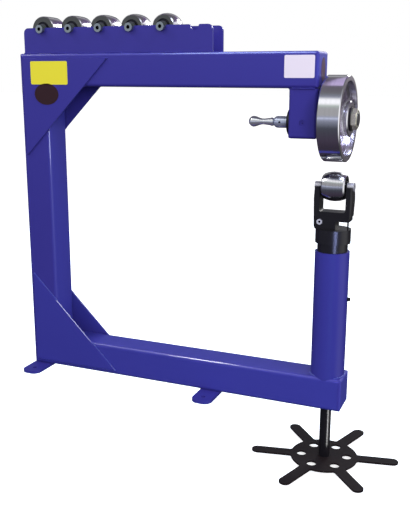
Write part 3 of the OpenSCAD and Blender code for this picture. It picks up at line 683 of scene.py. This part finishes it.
@dataclass
class WeldBead:
    """Weld beads: overlapping ripples laid along paths by Geometry Nodes."""

    radius: float
    pitch: float
    flatness: float = 0.55
    segments: int = 10
    rings: int = 6

    def lay(self, name: str, paths: list[list[Vector]], material: bpy.types.Material
            ) -> bpy.types.Object:
        """Lays beads along the paths as one plain mesh.

        Args:
            name: The piece's name.
            paths: The lines that the beads follow.
            material: Their material.

        Returns:
            The piece.
        """
        lines = bpy.data.meshes.new(name + "_paths")
        points = [point for path in paths for point in path]
        edges = []
        start = 0
        for path in paths:
            edges += [(start + n, start + n + 1) for n in range(len(path) - 1)]
            start += len(path)
        lines.from_pydata(points, edges, [])
        guide = bpy.data.objects.new(name + "_paths", lines)
        bpy.context.scene.collection.objects.link(guide)
        tree, inputs = self.ripple_tree()
        modifier = guide.modifiers.new("ripples", "NODES")
        modifier.node_group = tree
        modifier[inputs["Pitch"]] = self.pitch
        modifier[inputs["Radius"]] = self.radius
        modifier[inputs["Flatness"]] = self.flatness
        modifier[inputs["Material"]] = material
        bpy.context.view_layer.update()
        solid = bpy.data.meshes.new_from_object(guide.evaluated_get(
            bpy.context.evaluated_depsgraph_get()))
        guide.modifiers.remove(modifier)
        bpy.data.objects.remove(guide)
        solid.name = name
        solid.polygons.foreach_set("use_smooth", [True] * len(solid.polygons))
        piece = bpy.data.objects.new(name, solid)
        bpy.context.scene.collection.objects.link(piece)
        return piece

    def ripple_tree(self) -> tuple[bpy.types.NodeTree, dict[str, str]]:
        """Builds the tree that sets a flattened ripple at each step along a line.

        Returns:
            The tree, and each named input's identifier.
        """
        tree = bpy.data.node_groups.new("weld_ripples", "GeometryNodeTree")
        face = tree.interface
        face.new_socket("Geometry", in_out="INPUT", socket_type="NodeSocketGeometry")
        inputs = {}
        for label, kind in (("Pitch", "NodeSocketFloat"), ("Radius", "NodeSocketFloat"),
                            ("Flatness", "NodeSocketFloat"), ("Material", "NodeSocketMaterial")):
            inputs[label] = face.new_socket(label, in_out="INPUT", socket_type=kind).identifier
        face.new_socket("Geometry", in_out="OUTPUT", socket_type="NodeSocketGeometry")
        given = add_node(tree, "NodeGroupInput").outputs
        curve = add_node(tree, "GeometryNodeMeshToCurve", None, {"Mesh": given["Geometry"]})
        steps = add_node(tree, "GeometryNodeResampleCurve", {"mode": "LENGTH"},
                         {"Curve": curve.outputs["Curve"], "Length": given["Pitch"]})
        ripple = add_node(tree, "GeometryNodeMeshUVSphere",
                          {"Segments": self.segments, "Rings": self.rings},
                          {"Radius": given["Radius"]})
        tangent = add_node(tree, "GeometryNodeInputTangent")
        turn = add_node(tree, "FunctionNodeAlignRotationToVector", {"axis": "Z"},
                        {"Vector": tangent.outputs["Tangent"]})
        squash = add_node(tree, "ShaderNodeCombineXYZ", {"X": 1.0, "Y": 1.0},
                          {"Z": given["Flatness"]})
        placed = add_node(tree, "GeometryNodeInstanceOnPoints", None,
                          {"Points": steps.outputs["Curve"], "Instance": ripple.outputs["Mesh"],
                           "Rotation": turn.outputs["Rotation"], "Scale": squash.outputs[0]})
        real = add_node(tree, "GeometryNodeRealizeInstances", None,
                        {0: placed.outputs["Instances"]})
        dressed = add_node(tree, "GeometryNodeSetMaterial", None,
                           {"Geometry": real.outputs[0], "Material": given["Material"]})
        add_node(tree, "NodeGroupOutput", None, {"Geometry": dressed.outputs["Geometry"]})
        return tree, inputs


@dataclass
class QuickRelease:
    """The eccentric axle with its handle, and the upper wheel that runs on it."""

    shop: FinishShop
    nodes: dict[str, bpy.types.Object]

    def build(self) -> None:
        """Dresses the axle, the handle, the wheel and its bearings."""
        dress = self.shop.dress
        # Turned alloy steel: dark grey and ringed.
        steel = turned("turned_steel_axle", "#77777c", 0.32, "eccentric_axle", Axis.X)
        for name in ("eccentric_axle", "axle_spacers"):
            dress(self.nodes[name], steel)
        dress(self.nodes["axle_flange"], BLACK_OXIDE)
        dress(self.nodes["hub_set_screw"], BLACK_OXIDE)
        # Satin-polished aluminium: pale and smooth, with dark outlines where it curves away.
        satin = TurnedMetal("satin_aluminium_handle", "#f8fbff", 0.18, 0.9, axis=Axis.X,
                            centre=middle("release_handle"), ring=8 * MM, ring_height=0.002 * MM,
                            dark="#b4b6bc", dark_share=0.05)
        dress(self.nodes["release_handle"], satin)
        # Turned aluminium: a cool light grey with a broad soft highlight.
        hub = TurnedMetal("turned_aluminium_hub", "#cdd6ea", 0.22, 0.75, axis=Axis.X,
                          centre=middle("handle_hub"))
        dress(self.nodes["handle_hub"], hub)
        dress(self.nodes["axle_washer"], BLACK_OXIDE)
        # Passivated zinc on a forged nut: a pale warm grey, each flat in its own tone.
        zinc = TurnedMetal("yellow_zinc_plate", "#dcd8c6", 0.24, 0.8, axis=Axis.X,
                           centre=middle("axle_nut"), dark="#9c957e")
        dress(self.nodes["axle_nut"], zinc)
        # Ground and polished steel: the tread mirrors bands of light. The web gets a mauve-grey,
        # less
        # metallic copy of the steel: painted light for the glow in its recess.
        ground = turned("ground_steel_wheel", "#e0e0e6", 0.14, "upper_wheel", Axis.X,
                        dark="#a9a8b0", dark_share=0.1, ring=3.5 * MM,
                        face_colour="#dccfe0", face_metallic=0.93)
        dress(self.nodes["upper_wheel"], ground)
        # Hardened bearing steel: clean light grey with a sharp shine.
        race = turned("bearing_steel", "#a5a5aa", 0.22, "upper_wheel", Axis.X)
        for name in ("wheel_bearing_inners", "wheel_bearing_outers", "wheel_bearing_balls"):
            dress(self.nodes[name], race)


@dataclass
class Ram:
    """The ram with its collar, yoke and anvil, and the screw and kick wheel that lift it."""

    shop: FinishShop
    nodes: dict[str, bpy.types.Object]

    def build(self) -> None:
        """Dresses the ram, the yoke, the working anvil and the adjuster."""
        dress = self.shop.dress
        for name in ("ram", "ram_collar", "yoke", "adjuster_screw"):
            dress(self.nodes[name], BLACK_OXIDE)
        dress(self.nodes["ram_nut"], BRONZE)
        # Chrome plate on a ground pin: light grey and bright along its length.
        chrome = TurnedMetal("chrome_plate_axle", "#c4c5cc", 0.2, 0.6, axis=Axis.X,
                             centre=middle("anvil_axle"))
        dress(self.nodes["anvil_axle"], chrome)
        # Bright zinc plate on a socket screw: a white ring about a hexagon socket coloured dark as
        # painted shade.
        bright = TurnedMetal("zinc_plated_screw", "#eceef8", 0.25, 0.6, axis=Axis.Y,
                             centre=middle("yoke_clamp_screw"), hole_shade_radius=3.6 * MM)
        dress(self.nodes["yoke_clamp_screw"], bright)
        dress(self.nodes["yoke_index_pin"], BLACK_OXIDE)
        # Ground and polished steel: a bright crowned tread; its ends are coloured dark as painted
        # shade.
        tread = turned("ground_steel_anvil", "#d4d4da", 0.18, "work_anvil", Axis.X,
                       face_colour="#5c5660")
        dress(self.nodes["work_anvil"], tread)
        # Sealed bearings and blacked rings: dark grey, nearly without shine.
        dark = turned("sealed_bearing", "#3b3a40", 0.4, "anvil_bearings", Axis.X)
        for name in ("anvil_bearings", "anvil_spacers"):
            dress(self.nodes[name], dark)
        dress(self.nodes["kick_wheel"], FLAT_BLACK)
        for name in ("kick_washer", "kick_bolt"):
            dress(self.nodes[name], BLACK_OXIDE)


@dataclass
class SpareAnvils:
    """The spare anvils in the rack, with their axles and bearings."""

    shop: FinishShop
    nodes: dict[str, bpy.types.Object]
    count: int = 5

    def build(self) -> None:
        """Dresses the anvils, each about its own axle."""
        for number in range(1, self.count + 1):
            node = f"spare_anvil_{number}"
            # Ground and polished steel: a mirror tread behind an end coloured dark grey as painted
            # shade.
            tread = turned(f"ground_steel_spare_{number}", "#d6d4dc", 0.16, node, Axis.Y,
                           face_colour="#62625a")
            self.shop.dress(self.nodes[node], tread)
            # Sealed bearing: a dark ring in the anvil's end.
            bearing = turned(f"sealed_bearing_{number}", "#37363c", 0.4, node, Axis.Y)
            self.shop.dress(self.nodes[f"spare_bearings_{number}"], bearing)
        first, second = middle("spare_anvil_1"), middle("spare_anvil_2")
        # Chrome plate on drilled pins: a neutral grey ring about a hole coloured dark as painted
        # shade.
        chrome = TurnedMetal("chrome_plate_rack", "#9aa29e", 0.16, 0.9, axis=Axis.Y, centre=first,
                             repeat=second[0] - first[0], hole_shade_radius=5.6 * MM)
        self.shop.dress(self.nodes["rack_axles"], chrome)
        # Turned mild steel: dark grey and dull.
        ring = turned("turned_steel_rack", "#66666c", 0.35, "rack_spacers", Axis.Z)
        self.shop.dress(self.nodes["rack_spacers"], ring)


# Stage


class Tint(Enum):
    """Casts of the surround's light."""

    PLAIN = "#ffffff"
    COOL = "#dfe6ff"
    GREEN = "#eefff2"
    MAUVE = "#e9d2ff"
    PURPLE = "#b892e0"


@dataclass(frozen=True)
class Band:
    """A height in the surround, in degrees, with the light there and its cast."""

    elevation: float
    light: float
    tint: Tint = Tint.PLAIN


@dataclass(frozen=True)
class SoftBox:
    """A soft lamp: its name, place, what it faces, size, power and whether it glints in gloss.

    A lamp with names in `only` reaches those pieces alone, as a flagged lamp does.
    """

    name: str
    place: Point
    faces: Point
    width: float
    height: float
    watts: float
    glints: bool = False
    colour: str = "#ffffff"
    lights: bool = True
    only: tuple[str, ...] = ()


@dataclass
class Studio:
    """The camera, the lamps, the pale floor and the white surround."""

    nodes: dict[str, bpy.types.Object]
    camera_place: Point = (1.1828, -2.1544, 0.9910)
    azimuth: float = 22.773
    elevation: float = 13.317
    roll: float = 0.122
    focal_pixels: float = 763.16
    sensor: float = 36.0
    clip_end: float = 200.0
    floor_gap: float = 1 * MM
    floor_reach: float = 40.0
    floor_colour: str = "#f4f4f4"
    floor_roughness: float = 0.8
    floor_light: float = 0.8
    band_peak: float = 2.0
    front_bands: tuple[Band, ...] = (
        Band(-90, 0.05, Tint.MAUVE), Band(-55, 0.08, Tint.MAUVE), Band(-22, 0.1, Tint.COOL),
        Band(-6, 0.34, Tint.COOL), Band(0, 0.5, Tint.COOL), Band(3, 1.1, Tint.COOL),
        Band(6, 0.5, Tint.COOL), Band(10, 0.45), Band(28, 0.45), Band(35, 0.6, Tint.GREEN),
        Band(41, 1.3), Band(51, 1.3), Band(58, 0.38, Tint.COOL), Band(70, 0.17), Band(90, 0.12))
    left_bands: tuple[Band, ...] = (
        Band(-90, 0.05, Tint.MAUVE), Band(-10, 0.08, Tint.MAUVE), Band(10, 0.1, Tint.COOL),
        Band(22, 0.12, Tint.COOL), Band(26, 0.5), Band(31, 0.5), Band(38, 0.18),
        Band(58, 0.14, Tint.MAUVE), Band(72, 0.28, Tint.MAUVE), Band(90, 0.12))
    right_bands: tuple[Band, ...] = (
        Band(-90, 0.05), Band(-10, 0.06), Band(-1, 0.12), Band(3, 0.7), Band(10, 1.1),
        Band(24, 1.2), Band(27, 0.35, Tint.PURPLE), Band(32, 0.3, Tint.PURPLE), Band(38, 0.18),
        Band(58, 0.14, Tint.MAUVE), Band(72, 0.28, Tint.MAUVE), Band(90, 0.12))
    # Where one part of the surround fades into the next, along X or Y of the direction.
    left_to_right: tuple[float, float] = (-0.25, 0.05)
    front_to_back: tuple[float, float] = (-0.35, 0.35)
    into_side: tuple[float, float] = (0.8, 0.95)
    side_glow: float = 1.2
    lamps: tuple[SoftBox, ...] = (
        # The whole machine: two soft lamps in front, one above, one behind.
        SoftBox("key_lamp", (2.3, -3.0, 1.6), (0.2, 0.0, 0.5), 1.8, 1.8, 84.0, False, "#f8f0ff"),
        SoftBox("fill_lamp", (-2.0, -2.8, 3.0), (0.0, 0.0, 0.5), 2.0, 2.0, 52.0, False, "#f4ecff"),
        SoftBox("top_lamp", (0.2, 0.2, 3.2), (0.2, 0.0, 0.6), 2.0, 2.0, 22.0, False, "#8ce8e0"),
        SoftBox("back_lamp", (-1.0, 3.2, 1.9), (0.1, 0.0, 0.5), 2.0, 2.0, 70.0, False, "#b4dcff"),
        # Small lamps that glint on edges, weld beads and metal.
        SoftBox("bead_lamp", (1.7, -0.3, 2.7), (0.1, 0.0, 0.6), 0.8, 0.8, 30.0, True, "#d8e6ff"),
        SoftBox("edge_lamp", (0.9, 2.6, 2.1), (0.0, 0.0, 0.3), 0.6, 0.6, 20.0, True),
        SoftBox("left_lamp", (-1.8, -0.8, 2.9), (0.1, 0.0, 0.2), 0.6, 0.6, 20.0, True),
        # Cool light on the low and right sides of the frame.
        SoftBox("low_lamp", (1.6, -3.0, -0.5), (0.2, 0.0, 0.2), 1.5, 1.5, 34.0, False, "#86f4ea",
                only=("lower_arm_tube", "post_tube", "lower_gussets", "front_foot", "rear_foot")),
        SoftBox("side_lamp", (3.2, -0.7, 0.9), (0.0, 0.0, 0.6), 1.2, 1.2, 46.0, False, "#b4fff4",
                only=("column_tube", "upper_arm_tube", "lower_arm_tube", "tube_caps",
                      "lower_gussets", "upper_gussets")),
        # Sheens along single pieces.
        SoftBox("column_lamp", (2.2, -1.64, 0.63), (-0.24, -0.05, 0.8), 1.0, 0.45, 85.0, True,
                "#dfe9ff", lights=False, only=("column_tube",)),
        SoftBox("glint_lamp", (-0.65, -0.5, 2.5), (-0.65, 1.0, 0.24), 0.35, 1.6, 170.0, True,
                lights=False, only=("lower_arm_tube",)),
        SoftBox("arm_lamp", (-0.05, -0.3, 2.46), (-0.05, 1.0, 1.06), 0.8, 1.2, 90.0, True,
                "#c8dcff", lights=False, only=("upper_arm_tube",)),
        SoftBox("screw_lamp", (3.6, -1.25, -1.5), (0.68, 0.0, -0.05), 0.7, 0.6, 70.0, True,
                lights=False, only=("adjuster_screw",)),
        SoftBox("strip_lamp", (2.28, -2.76, -0.06), (0.68, 0.0, 0.5), 0.7, 0.22, 45.0, True,
                "#b0bcff", only=("ram", "ram_collar")),
        SoftBox("tread_lamp", (0.722, 0.27, 1.46), (0.722, 0.27, 0.5), 0.357, 0.55, 0.37, True,
                "#e2cfff", lights=False, only=("upper_wheel",)),
    )

    def build(self) -> None:
        """Sets up the camera, the light and the floor."""
        scene = bpy.context.scene
        scene.view_settings.view_transform = "Standard"
        self.camera()
        for lamp in self.lamps:
            self.light(lamp)
        self.floor()
        self.surround()

    def camera(self) -> None:
        """Puts the camera where the photograph was taken from."""
        data = bpy.data.cameras.new("camera")
        data.sensor_fit = "HORIZONTAL"
        data.sensor_width = self.sensor
        data.lens = self.sensor * self.focal_pixels / IMAGE_WIDTH
        data.clip_end = self.clip_end
        azimuth = math.radians(self.azimuth)
        elevation = math.radians(self.elevation)
        back = Vector((math.sin(azimuth) * math.cos(elevation),
                       -math.cos(azimuth) * math.cos(elevation), math.sin(elevation)))
        right = Vector((math.cos(azimuth), math.sin(azimuth), 0.0))
        up = back.cross(right)
        turn = Matrix((right, up, back)).transposed().to_4x4()
        turn = turn @ Matrix.Rotation(math.radians(self.roll), 4, "Z")
        camera = bpy.data.objects.new("camera", data)
        camera.matrix_world = Matrix.Translation(self.camera_place) @ turn
        bpy.context.scene.collection.objects.link(camera)
        bpy.context.scene.camera = camera

    def light(self, lamp: SoftBox) -> None:
        """Adds one soft lamp.

        Args:
            lamp: The lamp.
        """
        data = bpy.data.lights.new(lamp.name, "AREA")
        data.shape = "RECTANGLE"
        data.size = lamp.width
        data.size_y = lamp.height
        data.energy = lamp.watts
        data.color = linear(lamp.colour)[:3]
        obj = bpy.data.objects.new(lamp.name, data)
        obj.location = lamp.place
        obj.visible_glossy = lamp.glints
        obj.visible_diffuse = lamp.lights
        aim = Vector(lamp.faces) - Vector(lamp.place)
        obj.rotation_euler = aim.to_track_quat("-Z", "Y").to_euler()
        bpy.context.scene.collection.objects.link(obj)
        if lamp.only:
            reached = bpy.data.collections.new(lamp.name + "_reaches")
            for name in lamp.only:
                reached.objects.link(self.nodes[name])
            obj.light_linking.receiver_collection = reached

    def floor(self) -> None:
        """Lays the pale floor under the lowest piece."""
        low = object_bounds()[0][2] - self.floor_gap
        reach = self.floor_reach
        data = bpy.data.meshes.new("floor")
        data.from_pydata([(-reach, -reach, low), (reach, -reach, low), (reach, reach, low),
                          (-reach, reach, low)], [], [(0, 1, 2, 3)])
        floor = bpy.data.objects.new("floor", data)
        bpy.context.scene.collection.objects.link(floor)
        material = bpy.data.materials.new("pale_floor")
        material.use_nodes = True
        shader = material.node_tree.nodes["Principled BSDF"]
        shader.inputs["Base Color"].default_value = linear(self.floor_colour)
        shader.inputs["Roughness"].default_value = self.floor_roughness
        shader.inputs["Emission Color"].default_value = linear(Tint.PLAIN.value)
        shader.inputs["Emission Strength"].default_value = self.floor_light
        data.materials.append(material)
        floor.visible_glossy = False
        floor.visible_diffuse = False
        floor.visible_shadow = False
        floor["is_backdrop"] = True

    def surround(self) -> None:
        """Makes a surround that looks white, with bands of light for the metal to reflect."""
        world = bpy.data.worlds.new("white_studio")
        world.use_nodes = True
        bpy.context.scene.world = world
        tree = world.node_tree
        tree.nodes.clear()
        coords = add_node(tree, "ShaderNodeTexCoord")
        parts = add_node(tree, "ShaderNodeSeparateXYZ", None, {0: coords.outputs["Generated"]})
        front = self.bands(tree, self.front_bands, parts.outputs["Z"])
        left = self.bands(tree, self.left_bands, parts.outputs["Z"])
        right = self.bands(tree, self.right_bands, parts.outputs["Z"])
        across = add_node(tree, "ShaderNodeMapRange",
                          {"From Min": self.left_to_right[0], "From Max": self.left_to_right[1]},
                          {"Value": parts.outputs["X"]})
        back = add_node(tree, "ShaderNodeMix", {"data_type": "RGBA"},
                        {0: across.outputs["Result"], 6: left.outputs["Color"],
                         7: right.outputs["Color"]})
        turn = add_node(tree, "ShaderNodeMapRange",
                        {"From Min": self.front_to_back[0], "From Max": self.front_to_back[1]},
                        {"Value": parts.outputs["Y"]})
        around = add_node(tree, "ShaderNodeMix", {"data_type": "RGBA"},
                          {0: turn.outputs["Result"], 6: front.outputs["Color"],
                           7: back.outputs[2]})
        beside = add_node(tree, "ShaderNodeMapRange",
                          {"From Min": self.into_side[0], "From Max": self.into_side[1]},
                          {"Value": parts.outputs["X"]})
        glow = self.side_glow / self.band_peak
        lit = add_node(tree, "ShaderNodeMix", {"data_type": "RGBA", 7: (glow, glow, glow, 1.0)},
                       {0: beside.outputs["Result"], 6: around.outputs[2]})
        bright = add_node(tree, "ShaderNodeVectorMath",
                          {"operation": "SCALE", "Scale": self.band_peak}, {0: lit.outputs[2]})
        ray = add_node(tree, "ShaderNodeLightPath")
        seen = add_node(tree, "ShaderNodeMix", {"data_type": "RGBA", 7: linear(Tint.PLAIN.value)},
                        {0: ray.outputs["Is Camera Ray"], 6: bright.outputs[0]})
        background = add_node(tree, "ShaderNodeBackground", None, {"Color": seen.outputs[2]})
        add_node(tree, "ShaderNodeOutputWorld", None, {"Surface": background.outputs[0]})

    def bands(self, tree: bpy.types.NodeTree, stops: tuple[Band, ...],
              height: bpy.types.NodeSocket) -> bpy.types.Node:
        """Grades the surround's light from the floor up to the zenith.

        Args:
            tree: The surround's node tree.
            stops: The bands, from the lowest up.
            height: Upward part of the direction looked along.

        Returns:
            The colour ramp.
        """
        share = add_node(tree, "ShaderNodeMapRange", {"From Min": -1.0}, {"Value": height})
        ramp = add_node(tree, "ShaderNodeValToRGB", None, {"Fac": share.outputs["Result"]})
        steps = ramp.color_ramp.elements
        while len(steps) < len(stops):
            steps.new(0.5)
        for step, stop in zip(steps, stops):
            share_of_peak = stop.light / self.band_peak
            tint = linear(stop.tint.value)[:3]
            step.position = (1 + math.sin(math.radians(stop.elevation))) / 2
            step.color = tuple(share_of_peak * value for value in tint) + (1.0,)
        return ramp


def main() -> None:
    """Loads the frame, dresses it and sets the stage."""
    logging.basicConfig(level=logging.INFO)
    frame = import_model()
    nodes = frame["nodes"]
    shop = FinishShop()
    for assembly in (Frame(shop, nodes), QuickRelease(shop, nodes), Ram(shop, nodes),
                     SpareAnvils(shop, nodes)):
        assembly.build()
    Studio(nodes).build()


if __name__ == "__main__":
    main()
